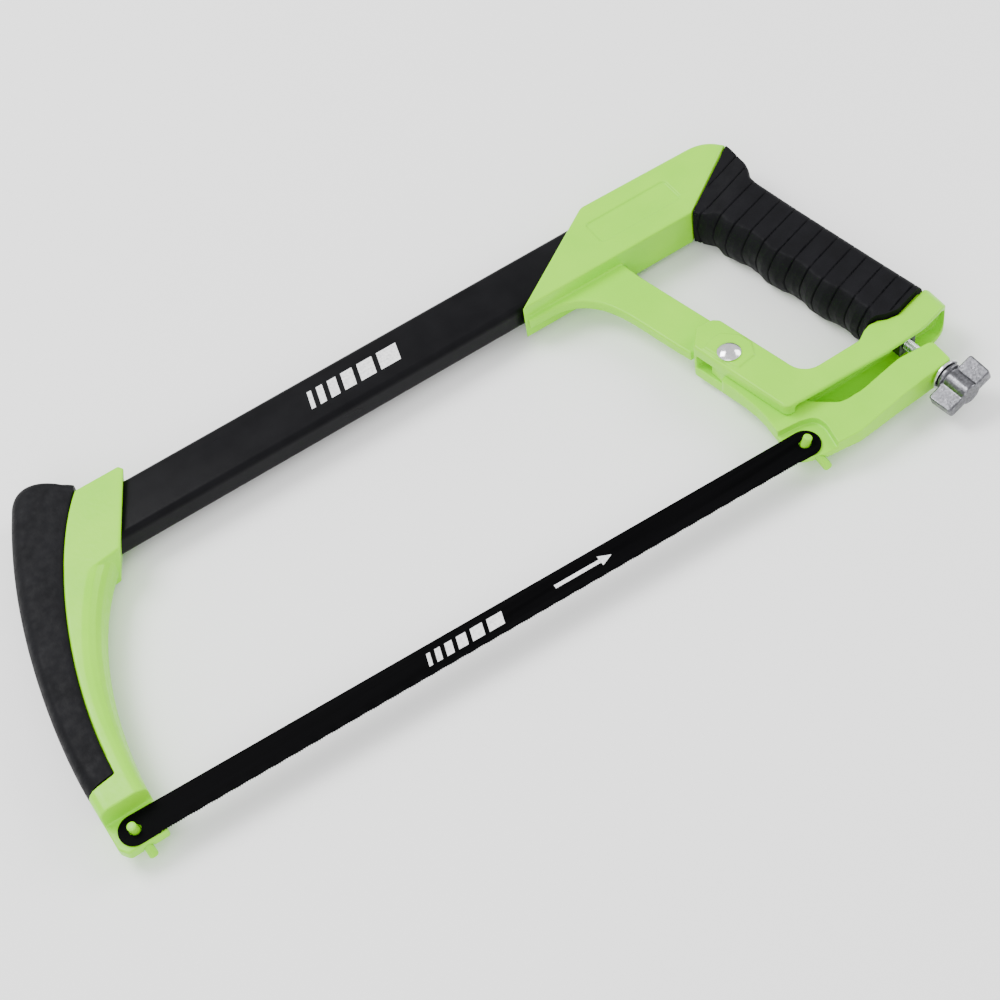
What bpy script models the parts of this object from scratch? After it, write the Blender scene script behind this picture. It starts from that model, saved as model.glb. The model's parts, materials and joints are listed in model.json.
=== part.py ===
"""High-tension hacksaw, lying flat: X runs along the frame tube towards the handle, Y from the blade up to
the tube, Z through the thickness. The drawing frame has the front blade pin at X = Y = 0 and the middle of
the tube's thickness at Z = 0; the last step moves everything so that the origin is the bottom centre."""

import math

import bmesh
import bpy
from mathutils import Matrix, Vector

MM = 0.001

# Driving dimensions, in millimetres and degrees
BLADE_CENTRES = 300.0  # pin to pin, the standard 12 inch blade
BLADE_WIDTH = 13.0
BLADE_THICK = 0.65
BLADE_TILT = 1.9  # the blade falls away from the tube towards the handle
THROAT = 131.0  # front pin to the middle of the tube
TUBE_HEIGHT = 26.5
TUBE_THICK = 12.0
TUBE_WALL = 1.5
TUBE_CORNER = 3.0
CASTING_THICK = 19.0
COLLAR_WALL = 3.2
WEB_THICK = 5.4
LEVER_THICK = 6.6
LEVER_END_THICK = 12.0
LEVER_THIN_TO = 14.0  # behind the rear pin
LEVER_THICK_FROM = 60.0
EAR_SLOT_GAP = 0.45  # each side of the lever in its clevis
TONGUE_THICK = 5.0
TONGUE_TOP = 8.3  # where the arm steps down to the tongue
PIN_DIAMETER = 3.8
PIN_HEIGHT = 4.9  # above the seat
FLUSH_PIN_HEIGHT = 6.4
PIN_SUNK = {"front": 2.6, "rear": 1.8}
FLUSH_PIN_SUNK = {"front": 2.0, "rear": 1.4}
FRONT_PIN_LEAN = 8.0
REAR_PIN_LEAN = 20.0
FLUSH_PIN_TILT = 45.0
RIVET_DIAMETER = 6.0
RIVET_HEAD = 10.0
RIVET_RISE = 1.6
PAD_HEIGHT = 0.8  # the raised pad round the rivet
SCREW_DIAMETER = 4.8
SCREW_TILT = 4.5
WASHER_DIAMETER = 14.0
WASHER_THICK = 1.2
KNOB_SPAN = 24.4
KNOB_HEIGHT = 13.2
KNOB_WING = 5.4
KNOB_HUB = 9.8
KNOB_SOCKET = 7.5  # how far the screw reaches into the knob
KNOB_TURN = 19.0  # the wings' angle out of the saw's plane
GRIP_THICK = 24.0
GRIP_ROUND = 8.0  # radius of its long edges
GRIP_END_ROUND = 1.4
FINGER_WAVE = 0.8
FINGER_PITCH = 26.0  # from one finger's ridge to the next
SHOULDER = 18.0  # length over which the grip thickens from the collar
NOSE_THICK = 19.8
NOSE_ROUND = 7.0
ARM_ROUND = 7.0
ARM_END_ROUND = 4.6  # beside the tongue
BAR_END = 87.6  # the D bar reaches this far behind the rear pin
BAR_END_ROUND = 7.0
BAR_WALL = 2.2
MOUTH_SLOPE = 4.6  # how much shorter the front collar is on the far side
CORE_THICK = 16.0
COLLAR_SCREW_HEAD = 7.0
COLLAR_SCREW_SHANK = 3.6
SCREW_SOCKET = 2.4  # square drive in its head
GAP = 0.3  # between pieces that touch

# Sizes that follow from them
TILT = math.radians(BLADE_TILT)
REAR_X = BLADE_CENTRES * math.cos(TILT)
REAR_Y = -BLADE_CENTRES * math.sin(TILT)
TUBE_LOW = THROAT - TUBE_HEIGHT / 2
TUBE_HIGH = THROAT + TUBE_HEIGHT / 2
COLLAR_LOW = TUBE_LOW - GAP - COLLAR_WALL
COLLAR_HIGH = TUBE_HIGH + GAP + COLLAR_WALL
FACE = CASTING_THICK / 2
CORE = CORE_THICK / 2
TUBE_FRONT_END = 40.0
TUBE_REAR_END = REAR_X + 31.0
SLOT_HALF = LEVER_THICK / 2 + EAR_SLOT_GAP
PIVOT = (REAR_X + 0.3, REAR_Y + 50.35)
BLADE_HOLE = PIN_DIAMETER / 2 + 2 * GAP
BORE_SEGMENTS = 32
FINGER_STEPS = 22
ARC_STEP = 12.0  # degrees of arc for each side of a rounded corner
SHORTEST_SIDE = 0.05
SHARPEST_CORNER = 0.35  # limits how far a sharp corner is moved

# The tension screw's own line: its foot is where it leaves the lever's outer edge
SCREW_LEAN = math.radians(SCREW_TILT)
SCREW_DIRECTION = Vector((math.sin(SCREW_LEAN), -math.cos(SCREW_LEAN), 0))
SCREW_FOOT = Vector((REAR_X + 66.3, REAR_Y - 5.5, 0))
SCREW_LENGTH_IN = 39.0  # from the lever's outer edge up into the handle
NUT_SIDE = 9.0
NUT_THICK = 4.5
CHANNEL_ROOF = REAR_Y + 20.5
KNOB_FOOT = WASHER_THICK + 2 * GAP + 0.4  # from the lever's outer edge


def rear(x, y):
    """A point measured from the rear blade pin."""
    return (REAR_X + x, REAR_Y + y)


def bezier(first, pull_first, pull_last, last, steps=14):
    """The points of one cubic curve, both ends included."""
    points = []
    for i in range(steps + 1):
        t = i / steps
        w = ((1 - t) ** 3, 3 * (1 - t) ** 2 * t, 3 * (1 - t) * t * t, t**3)
        ends = (first, pull_first, pull_last, last)
        points.append(tuple(sum(a * p[axis] for a, p in zip(w, ends)) for axis in (0, 1)))
    return points


def rounded(corners):
    """An outline from corners (x, y) or (x, y, radius): each corner with a radius becomes an arc."""
    outline = []
    count = len(corners)
    for i, corner in enumerate(corners):
        here = Vector(corner[:2])
        if len(corner) == 2:
            outline.append(tuple(here))
            continue
        back = Vector(corners[i - 1][:2]) - here
        ahead = Vector(corners[(i + 1) % count][:2]) - here
        half = back.angle(ahead) / 2
        reach = min(corner[2] / math.tan(half), back.length * 0.49, ahead.length * 0.49)
        radius = reach * math.tan(half)
        middle = here + (back.normalized() + ahead.normalized()).normalized() * radius / math.sin(half)
        start = here + back.normalized() * reach - middle
        sweep = (here + ahead.normalized() * reach - middle).angle_signed(start)
        sides = max(1, round(abs(math.degrees(sweep)) / ARC_STEP))
        for step in range(sides + 1):
            turn = Matrix.Rotation(sweep * step / sides, 2)
            outline.append(tuple(middle + turn @ start))
    return outline


def turned(radius, sides=BORE_SEGMENTS, centre=(0, 0)):
    """A round outline."""
    angles = (2 * math.pi * i / sides for i in range(sides))
    return [(centre[0] + radius * math.cos(a), centre[1] + radius * math.sin(a)) for a in angles]


def finish_mesh(bm, name):
    """An object in the scene from a bmesh drawn in millimetres."""
    bmesh.ops.recalc_face_normals(bm, faces=bm.faces[:])
    bmesh.ops.scale(bm, vec=(MM, MM, MM), verts=bm.verts[:])
    mesh = bpy.data.meshes.new(name)
    bm.to_mesh(mesh)
    bm.free()
    piece = bpy.data.objects.new(name, mesh)
    bpy.context.scene.collection.objects.link(piece)
    return piece


def outward(outline):
    """For each corner of a closed outline, the step that moves both its sides outwards by one."""
    area = sum(a[0] * b[1] - b[0] * a[1] for a, b in zip(outline, outline[1:] + outline[:1]))
    sense = 1 if area > 0 else -1
    moves = []
    for i, corner in enumerate(outline):
        before = (Vector(corner) - Vector(outline[i - 1])).normalized()
        after = (Vector(outline[(i + 1) % len(outline)]) - Vector(corner)).normalized()
        side = Vector((before.y, -before.x)) * sense
        middle = (side + Vector((after.y, -after.x)) * sense).normalized()
        moves.append(middle / max(SHARPEST_CORNER, middle.dot(side)))
    return moves


def grown(outline, distance):
    """A closed outline whose sides are all moved outwards by a distance."""
    return [tuple(Vector(p) + move * distance) for p, move in zip(outline, outward(outline))]


def eased(value, start, end):
    """0 before start, 1 after end, and a smooth rise between them."""
    share = min(1.0, max(0.0, (value - start) / (end - start)))
    return share * share * (3 - 2 * share)


def prism(name, outline, low, high, rim=0.0, steps=3):
    """An outline extruded from low to high, its rims rounded: rim is a radius, or gives one for each point."""
    spots = [p for i, p in enumerate(outline) if (Vector(p) - Vector(outline[i - 1])).length > SHORTEST_SIDE]
    radii = [rim(*p) for p in spots] if callable(rim) else [rim] * len(spots)
    moves = outward(spots)
    turns = [math.pi / 2 * step / steps for step in range(steps + 1)] if max(radii) else [math.pi / 2]
    bm = bmesh.new()
    rings = []
    for end, sense, order in ((low, 1, turns), (high, -1, turns[::-1])):
        for turn in order:
            ring = []
            for (x, y), move, radius in zip(spots, moves, radii):
                inward = radius * (1 - math.sin(turn))
                height = end + sense * radius * (1 - math.cos(turn))
                ring.append(bm.verts.new((x - move.x * inward, y - move.y * inward, height)))
            rings.append(ring)
    bm.faces.new(rings[0])
    bm.faces.new(rings[-1])
    for lower, upper in zip(rings, rings[1:]):
        for i in range(len(spots)):
            bm.faces.new((lower[i - 1], lower[i], upper[i], upper[i - 1]))
    return finish_mesh(bm, name)


def cylinder(name, radius, low, high, sides=BORE_SEGMENTS, rim=0.0, centre=(0, 0)):
    """A round bar along Z, with its end rims rounded."""
    return prism(name, turned(radius, sides, centre), low, high, rim, 2)


def lathe(name, profile, sides=BORE_SEGMENTS):
    """A solid turned about Z from (radius, height) points that run from the axis out and back to it."""
    bm = bmesh.new()
    verts = [bm.verts.new((r, 0, z)) for r, z in profile]
    edges = [bm.edges.new(pair) for pair in zip(verts, verts[1:])]
    bmesh.ops.spin(bm, geom=verts + edges, axis=(0, 0, 1), angle=2 * math.pi, steps=sides)
    bmesh.ops.remove_doubles(bm, verts=bm.verts[:], dist=1e-4)
    return finish_mesh(bm, name)


def bake_modifiers(piece):
    """Gives the piece the mesh that its modifiers make."""
    graph = bpy.context.evaluated_depsgraph_get()
    graph.update()
    mesh = bpy.data.meshes.new_from_object(piece.evaluated_get(graph))
    piece.modifiers.clear()
    old = piece.data
    piece.data = mesh
    bpy.data.meshes.remove(old)


def place(piece, matrix):
    """Moves the piece's mesh by a matrix in millimetres."""
    shift = matrix.copy()
    shift.translation = shift.translation * MM
    piece.data.transform(shift)
    if shift.determinant() < 0:
        piece.data.flip_normals()
    return piece


def joined(piece, others, operation="UNION"):
    """Adds or cuts the other pieces, which are used up."""
    for other in others:
        boolean = piece.modifiers.new(operation.lower(), "BOOLEAN")
        boolean.operation = operation
        boolean.solver = "EXACT"
        boolean.object = other
        bake_modifiers(piece)
        bpy.data.objects.remove(other, do_unlink=True)
    return piece


def cut(piece, others):
    """The piece without the space of the others."""
    return joined(piece, others, "DIFFERENCE")


def along(start, direction, roll=0.0):
    """The matrix that takes +Z to a direction, the origin to a start point, and turns about it by roll."""
    turn = Vector(direction).to_track_quat("Z", "Y").to_matrix().to_4x4()
    return Matrix.Translation(Vector(start)) @ turn @ Matrix.Rotation(math.radians(roll), 4, "Z")


def tube_section(grow, corner):
    """The tube's rounded rectangle in (y, z), grown outwards by grow."""
    y = TUBE_HEIGHT / 2 + grow
    z = TUBE_THICK / 2 + grow
    return rounded([(-y, -z, corner), (y, -z, corner), (y, z, corner), (-y, z, corner)])


def tube_bar(name, start, end, grow, corner):
    """A bar of the tube's section from one X to another."""
    bar = prism(name, tube_section(grow, corner), 0, end - start)
    stand = Matrix(((0, 0, 1, start), (1, 0, 0, THROAT), (0, 1, 0, 0), (0, 0, 0, 1)))
    return place(bar, stand)


def spine_tube():
    """The rectangular frame tube, open at both ends inside the castings."""
    tube = tube_bar("spine_tube", TUBE_FRONT_END, TUBE_REAR_END, 0, TUBE_CORNER)
    hollow = tube_bar("hollow", TUBE_FRONT_END - 5, TUBE_REAR_END + 5, -TUBE_WALL, TUBE_CORNER - TUBE_WALL)
    return cut(tube, [hollow] + screw_spaces())


def collar_screw_places():
    """Where the screws on the far side hold the tube: two in each casting."""
    return [
        (TUBE_FRONT_END + 7.0, THROAT + 8.0),
        (TUBE_FRONT_END + 15.0, THROAT + 8.0),
        (REAR_X + 20.0, THROAT),
        (REAR_X - 4.0, THROAT),
    ]


def collar_screw(name, centre, grow=0.0):
    """A countersunk screw from the far side, through the casting's wall and the tube's wall."""
    head = COLLAR_SCREW_HEAD / 2 + grow
    shank = COLLAR_SCREW_SHANK / 2 + grow
    outer = -FACE - (1.0 if grow else -0.2)
    under_head = -FACE + 0.3
    inner = -TUBE_THICK / 2 + TUBE_WALL + 1.5 + grow
    cone = under_head + head - shank
    profile = [(0, outer), (head, outer), (head, under_head), (shank, cone), (shank, inner), (0, inner)]
    return place(lathe(name, profile, 24), Matrix.Translation((*centre, 0)))


def screw_spaces(first=0, last=4):
    """The holes for the collar screws."""
    return [collar_screw("space", centre, GAP) for centre in collar_screw_places()[first:last]]


def collar_screws():
    """The four screws, each with a square socket in its head."""
    names = ("front_collar_screw_1", "front_collar_screw_2", "rear_collar_screw_1", "rear_collar_screw_2")
    half = SCREW_SOCKET / 2
    square = [(-half, -half), (half, -half), (half, half), (-half, half)]
    screws = []
    for name, centre in zip(names, collar_screw_places()):
        socket = prism("socket", square, -FACE - 1, -FACE + 1.4)
        screws.append(cut(collar_screw(name, centre), [place(socket, Matrix.Translation((*centre, 0)))]))
    return screws


def nose_edge(shift=0.0):
    """The line where the front casting's green face meets the rubber, from the tube down to the blade."""
    top = (48.8 - shift, THROAT + 17.5)
    return bezier(top, (28.7 - shift, THROAT - 4.1), (5.9 - shift, 71.4), (4.0 - shift, 20.2), 18)


def nose_outer():
    """The rubber's outer line, from the top of the collar round the nose and down the front."""
    turn = (22.0, THROAT + 26.0)
    crown = bezier((50.0, THROAT + 21.5), (36.0, THROAT + 40.0), (26.5, THROAT + 37.0), turn, 10)
    front = bezier(turn, (-4.0, THROAT - 26.8), (-9.4, 40.1), (-8.9, 18.2), 16)
    return crown + front[1:]


def arm_inner():
    """The front arm's inner line, from beside the blade up to the collar."""
    return bezier((11.2, 8.3), (11.5, 45.0), (25.0, THROAT - 41.0), (50.0, THROAT - 17.5), 16)


def inset(outline, distance):
    """An open line moved to its right by a distance."""
    moved = []
    for i, point in enumerate(outline):
        before = Vector(outline[max(i - 1, 0)])
        after = Vector(outline[min(i + 1, len(outline) - 1)])
        run = (after - before).normalized()
        moved.append((point[0] + run.y * distance, point[1] - run.x * distance))
    return moved


def nose_core(grow=0.0):
    """What the rubber nose wraps: the casting's thinner rib."""
    outer = inset(nose_outer()[2:-1], -4.2 + grow)
    outline = [(56.0, THROAT + 12.0), (54.0, THROAT + 15.0)] + outer
    outline += [(-4.5, 14.0), (5.0, 14.0), (12.0, 60.0)]
    return prism("core", outline, -CORE - grow, CORE + grow, 0.8, 1)


def pin_place(end):
    """The foot and direction of the near blade pin at one end."""
    lean = math.radians(FRONT_PIN_LEAN if end == "front" else REAR_PIN_LEAN)
    if end == "front":
        return Vector((0, 0, 0)), Vector((-math.sin(lean), 0, math.cos(lean)))
    return Vector((REAR_X, REAR_Y, 0)), Vector((math.sin(lean), 0, math.cos(lean)))


def flush_pin_place(end):
    """The foot and direction of the far pin, which takes the blade at 45 degrees."""
    tilt = math.radians(FLUSH_PIN_TILT)
    if end == "front":
        return Vector((1.0, -4.6, -TONGUE_THICK + 1.6)), Vector((0.05, -math.sin(tilt), -math.cos(tilt)))
    foot = Vector((REAR_X + 2.2, REAR_Y - 6.4, -LEVER_THICK / 2 + 0.4))
    return foot, Vector((0.25, -math.sin(tilt), -math.cos(tilt)))


def pin(name, spot, sunk, height, grow=0.0):
    """A round pin with a domed tip, its foot sunk in a blind hole."""
    foot, direction = spot
    radius = PIN_DIAMETER / 2 + grow
    if grow:
        bar = cylinder(name, radius, -sunk - grow, height, 24)
    else:
        dome = radius * 0.35
        side = [(0, -sunk), (radius, -sunk), (radius, height - dome)]
        tip = [(radius - dome * 0.3, height - dome * 0.3), (radius - dome, height), (0, height)]
        bar = lathe(name, side + tip, 24)
    return place(bar, along(foot, direction))


def blade_pins(end, grow=0.0):
    """The near and the far blade pin at one end, or with a clearance the holes for them."""
    heights = (12.0, 12.0) if grow else (PIN_HEIGHT, FLUSH_PIN_HEIGHT)
    near = pin(f"{end}_pin", pin_place(end), PIN_SUNK[end], heights[0], grow)
    far = pin(f"{end}_flush_pin", flush_pin_place(end), FLUSH_PIN_SUNK[end], heights[1], grow)
    return [near, far]


def mouth_line():
    """The slanted line where the tube leaves the front casting, low end and high end."""
    return (53.0, THROAT - 17.5), (70.5, THROAT + 15.0)


def mouth_wedge():
    """What the mouth's slope takes away: the far side is shorter than the near side."""
    profile = [(0, FACE), (-MOUTH_SLOPE, -FACE), (-MOUTH_SLOPE, -FACE - 1), (30, -FACE - 1), (30, FACE)]
    return place(prism("wedge", profile, -20, 60), slanted(*mouth_line()))


def arm_rim(x, y):
    """How round the arm's rims are: most on its inner side and beside the tongue."""
    inner = ARM_END_ROUND + (ARM_ROUND - ARM_END_ROUND) * eased(y, 20.0, 70.0)
    on_inner, on_outer = eased(x - nose_line_x(y), 5.0, 7.0), eased(-x, 5.0, 8.0)
    return 1.0 + (inner - 1.0) * on_inner + (ARM_END_ROUND - 1.0) * on_outer


def foot_line(lift=0.0):
    """The line where the rubber nose ends above the tongue, outer end and inner end."""
    return (-14.0, 17.4 + lift), (4.0, 20.2 + lift)


def front_arm():
    """The curved arm: its roundings run straight out at the tongue and at the rubber's foot."""
    edge = nose_edge()
    above = edge[-2]
    outline = edge[:-1][::-1] + [(56.0, THROAT + 10.0), (52.0, THROAT - 17.5)]
    outline += arm_inner()[::-1] + [(11.2, 1.0), (-8.9, 1.0), (-8.9, above[1])]
    arm = prism("front_casting", outline, -FACE, FACE, arm_rim, 4)
    outer, inner = foot_line()
    under_rubber = prism("space", [outer, inner, above, (outer[0], above[1])], -FACE - 1, FACE + 1)
    below = prism("space", [(-14, -2), (20, -2), (20, TONGUE_TOP), (-14, TONGUE_TOP)], -FACE - 1, FACE + 1)
    return cut(arm, [under_rubber, below])


def front_collar():
    """The block round the tube's front end, which stands proud of the arm along a sharp lower ridge."""
    mouth_low, mouth_high = mouth_line()
    edge = [p for p in nose_edge() if p[1] > THROAT - 20.0]
    outline = edge[::-1] + [(69.0, THROAT + 17.5), mouth_high, (mouth_low[0] - 1.4, mouth_low[1] - 2.6)]
    outline += [(49.7, THROAT - 20.5), (32.3, THROAT - 22.9)]
    return prism("collar", outline, -FACE, FACE, 0.8, 3)


def front_casting():
    """The green front casting: collar round the tube, curved arm and the tongue that holds the blade pin."""
    tongue = rounded([(-8.9, 12.0), (-8.9, -3.0, 2.0), (-6.4, -6.8, 2.0), (10.3, -6.8, 1.0), (10.6, 12.0)])
    tongue = prism("tongue", tongue, -TONGUE_THICK, 0, 0.5, 2)
    body = joined(front_arm(), [front_collar(), nose_core(), tongue])
    socket = tube_bar("socket", TUBE_FRONT_END - GAP, TUBE_FRONT_END + 80, GAP, TUBE_CORNER + GAP)
    return cut(body, [mouth_wedge(), socket] + blade_pins("front", GAP) + screw_spaces(0, 2))


def nose_rim(x, y):
    """How round the rubber nose's rims are: most on its outside."""
    outside = max(eased(nose_line_x(y) - x, 3.0, 9.0), eased(y, THROAT + 20.0, THROAT + 26.0))
    return 0.6 + (NOSE_ROUND - 0.6) * outside


def front_grip():
    """The rubber cover on the nose of the front casting."""
    edge = nose_edge(GAP + 0.1)[::-1]
    outline = nose_outer() + [(-8.9, 6.0), (edge[0][0], 6.0)] + edge
    half = NOSE_THICK / 2
    cover = prism("front_grip", outline, -half, half, nose_rim, 5)
    outer, inner = foot_line(GAP)
    below = prism("below", [outer, inner, (8.0, inner[1]), (8.0, 0.0), (outer[0], 0.0)], -half - 1, half + 1)
    return cut(cover, [below, nose_core(GAP)])


def nose_line_x(y):
    """The X of the green and rubber edge at a height Y."""
    line = nose_edge()
    for (x1, y1), (x2, y2) in zip(line, line[1:]):
        if y2 <= y <= y1:
            return x2 + (x1 - x2) * (y - y2) / (y1 - y2)
    return line[0][0] if y > line[0][1] else line[-1][0]


def grip_line():
    """The slanted line where the rear collar's face meets the grip, top and bottom ends."""
    return (REAR_X + 71.6, THROAT + 7.5), (REAR_X + 35.2, COLLAR_LOW)


def grip_floor(lift=0.0):
    """The wavy line where the grip's lower end meets the D bar, from the finger side to the back."""
    line = [(50.5, 26.2), (54.0, 27.4), (58.0, 27.0), (61.5, 25.2), (67.0, 24.2), (84.0, 28.4)]
    return [rear(x, y + lift) for x, y in line]


def leg_and_bar():
    """Outline of the clevis leg and the D bar below the grip."""
    floor = grip_floor()
    corners = [
        (*rear(-8.8, 62.6), 1.5),
        (*rear(-1.7, 70.6), 1.5),
        (*rear(6.0, 69.6), 1.5),
        (*rear(8.4, 67.4), 1.5),
        (*rear(17.9, 23.3), 9.0),
        (*rear(46.0, 23.4), 4.0),
        *floor,
        (REAR_X + BAR_END, REAR_Y + 28.2, 3.0),
        (REAR_X + BAR_END, REAR_Y + 17.4, 5.0),
        (*rear(80.0, 14.6), 10.0),
        (*rear(70.6, 12.3), 20.0),
        (*rear(50.0, 11.5), 30.0),
        (*rear(16.8, 12.7), 30.0),
        (*rear(1.3, 13.4), 3.0),
    ]
    return rounded(corners)


def web_outline():
    """Outline of the thin web arm from the rear collar down to the clevis."""
    top = COLLAR_LOW + COLLAR_WALL * 0.6
    sweep = bezier(
        (REAR_X - 38.0, COLLAR_LOW - 2.6),
        (REAR_X - 15.5, COLLAR_LOW - 6.7),
        rear(-16.9, 93.0),
        rear(-8.8, 65.0),
        14,
    )
    back = [rear(2.0, 66.0), rear(8.6, 74.0), (REAR_X - 0.4, COLLAR_LOW - 10.5), (REAR_X - 2.3, top)]
    return [(REAR_X - 52.0, top), (REAR_X - 51.6, COLLAR_LOW - 2.2)] + sweep + back


def grip_core(grow=0.0):
    """The bar inside the rubber grip, which joins the collar to the D bar."""
    corners = [
        (REAR_X + 36.0, COLLAR_LOW + 6.0),
        (REAR_X + 41.0, COLLAR_LOW + 1.0),
        (REAR_X + 46.0, COLLAR_LOW - 14.0),
        rear(50.5, 80.0),
        rear(57.6, 36.0),
        rear(57.6, 22.0),
        rear(81.5, 22.0),
        rear(81.5, 32.0),
        (REAR_X + 66.0, THROAT - 10.0),
        (REAR_X + 68.0, THROAT + 5.0),
        (REAR_X + 60.0, COLLAR_HIGH - 4.0),
    ]
    outline = grown(corners, grow) if grow else corners
    return prism("core", outline, -CORE - grow, CORE + grow, 1.0, 1)


def rear_collar_outline():
    """Outline of the block round the tube's rear end."""
    top, bottom = grip_line()
    pulls = (REAR_X + 65.0, COLLAR_HIGH), (REAR_X + 69.5, THROAT + 12.0)
    crown = bezier((REAR_X + 56.0, COLLAR_HIGH), *pulls, top, 8)
    slope_top = (REAR_X - 0.6, COLLAR_HIGH, 5.0)
    start = rounded([(REAR_X - 53.0, COLLAR_LOW), slope_top, (REAR_X + 30.0, COLLAR_HIGH)])
    return start[:-1] + crown + [bottom]


def channel_cutters():
    """The lever's slot in the leg, and the wider hollow of the D bar, both open on the outer side."""
    wall = 3.2
    slot = [(-20, 61.6), (6.6 - wall / 3, 61.6), (17.2 - wall, 20.5), (17.2 - wall, -5), (-20, -5)]
    hollow = rounded([
        (*rear(7.5, 33.0), 3.0),
        (*rear(12.4, 33.0), 2.0),
        (REAR_X + 16.0, CHANNEL_ROOF, 5.0),
        (REAR_X + 72.0, CHANNEL_ROOF, 2.0),
        rear(72.0, -5),
        rear(3.8, -5),
    ])
    half = FACE - BAR_WALL
    return [
        prism("slot", [rear(*p) for p in slot], -SLOT_HALF, SLOT_HALF),
        prism("hollow", hollow, -half, half, 1.2, 2),
        end_hollow(),
    ]


def label_recess():
    """A shallow blank panel in the near face of the rear collar."""
    x, y = REAR_X + 16.2, THROAT
    w, h, depth = 21.2, 6.8, 0.8
    corners = [(x - w, y - h, 2.0), (x + w, y - h, 2.0), (x + w, y + h, 2.0), (x - w, y + h, 2.0)]
    return prism("recess", rounded(corners), FACE - depth, FACE + 1)


def rivet_pad(side):
    """The raised pad round the rivet on one face of the clevis."""
    x, y = PIVOT
    corners = [(x - 6.4, y + 8.6), (x - 1.0, y + 10.6), (x + 3.4, y + 10.6), (x + 9.0, y + 5.2),
               (x + 10.6, y - 1.0), (x + 7.6, y - 7.2), (x - 1.6, y - 8.6), (x - 2.8, y - 6.0)]
    low, high = (FACE - 1, FACE + PAD_HEIGHT) if side > 0 else (-FACE - PAD_HEIGHT, -FACE + 1)
    return prism("pad", corners, low, high, 0.3, 1)


def screw_line(name, radius, start, end, rim=0.0):
    """A round bar on the tension screw's line, from one distance along it to another."""
    bar = cylinder(name, radius, start, end, 24, rim)
    return place(bar, along(SCREW_FOOT, SCREW_DIRECTION))


def upright(x, y):
    """The matrix that stands a prism up along Y on a spot of the saw's middle plane, its own Y along Z."""
    return Matrix(((1, 0, 0, x), (0, 0, 1, y), (0, 1, 0, 0), (0, 0, 0, 1)))


def slanted(low, high):
    """The matrix that lays a prism along a line, its X to the line's right and its Y along Z."""
    start = Vector((*low, 0))
    run = (Vector((*high, 0)) - start).normalized()
    right = Vector((run.y, -run.x, 0))
    return Matrix(((right.x, 0, run.x, start.x), (right.y, 0, run.y, start.y), (0, 1, 0, 0), (0, 0, 0, 1)))


def end_arc(end, half, radius):
    """From above, a rounded corner of the D bar's rear end, as distances behind the rear pin and heights."""
    angles = [math.radians(a) for a in range(0, 91, 10)]
    return [(end - radius * (1 - math.sin(a)), half - radius * (1 - math.cos(a))) for a in angles]


def end_corners():
    """What the two rounded corners of the D bar's rear end take away."""
    arc = end_arc(BAR_END, FACE, BAR_END_ROUND)
    corners = []
    for side in (1, -1):
        beyond = [(BAR_END + 3, arc[-1][1]), (BAR_END + 3, FACE + 3), (arc[0][0], FACE + 3)]
        outline = [(x, side * z) for x, z in arc + beyond]
        corners.append(place(prism("corner", outline, 5.0, 40.0), upright(REAR_X, REAR_Y)))
    return corners


def end_hollow():
    """The hollow of the D bar's rear end, one wall's thickness inside its rounded corners."""
    arc = end_arc(BAR_END - BAR_WALL, FACE - BAR_WALL, BAR_END_ROUND - BAR_WALL)
    start = 66.0
    outline = [(start, arc[0][1])] + arc + [(x, -z) for x, z in reversed(arc)] + [(start, -arc[0][1])]
    return place(prism("hollow_end", outline, -5.0, CHANNEL_ROOF - REAR_Y), upright(REAR_X, REAR_Y))


def collar_rim(x, y):
    """How round the rear collar's rims are: more on its crown."""
    return 0.9 + 1.6 * eased(x, REAR_X + 10.0, REAR_X + 56.0) * eased(y, THROAT + 4.0, THROAT + 10.0)


def handle_casting():
    """The green handle: collar, web arm, clevis, D bar and the core inside the grip, cast as one."""
    body = prism("handle_casting", rear_collar_outline(), -FACE, FACE, collar_rim, 3)
    web = prism("web", web_outline(), -WEB_THICK / 2, WEB_THICK / 2, 0.8, 2)
    leg = prism("leg", leg_and_bar(), -FACE, FACE, 1.0, 3)
    leg = cut(leg, end_corners())
    body = joined(body, [grip_core(), web, leg, rivet_pad(1), rivet_pad(-1)])
    socket = tube_bar("socket", REAR_X - 90, TUBE_REAR_END + GAP, GAP, TUBE_CORNER + GAP)
    rivet_hole = cylinder("hole", RIVET_DIAMETER / 2 + GAP, -FACE - 5, FACE + 5, centre=PIVOT)
    screw_hole = screw_line("hole", SCREW_DIAMETER / 2 + 2 * GAP, -SCREW_LENGTH_IN - 2, -10)
    tools = [socket, *channel_cutters(), rivet_hole, screw_hole, label_recess(), nut_block("seat", GAP)]
    return cut(body, tools + screw_spaces(2, 4))


def grip_outline():
    """The rubber grip seen from the side: back with its horn, and the finger side with its waves."""
    top, bottom = grip_line()
    run = (Vector(bottom) - Vector(top)).normalized()
    away = Vector((-run.y, run.x)) * GAP
    start = Vector(top) + away
    under = REAR_Y + 16.0
    horn = [(REAR_X + 72.1, THROAT + 3.5), (REAR_X + 71.3, THROAT - 4.0), (REAR_X + 71.3, THROAT - 8.0),
            (REAR_X + 70.2, THROAT - 12.0), (REAR_X + 68.2, THROAT - 15.0)]
    back = [rear(68.4, 122.0), rear(72.1, 99.0), rear(76.1, 76.0), rear(80.1, 53.0), rear(84.6, 29.5),
            (REAR_X + 86.6, under)]
    low, high = Vector(rear(54.0, 30.0)), Vector(rear(38.6, 115.5))
    fingers = [(REAR_X + 55.6, under), rear(53.6, 26.5)]
    for i in range(FINGER_STEPS + 1):
        spot = low.lerp(high, i / FINGER_STEPS)
        wave = FINGER_WAVE * math.cos(2 * math.pi * (spot - low).length / FINGER_PITCH)
        fingers.append((spot.x - wave, spot.y))
    neck = [(REAR_X + 36.8, COLLAR_LOW - 3.6)]
    end = Vector(bottom) + away
    return [tuple(start)] + horn + back + fingers + neck + [tuple(end)]


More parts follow.
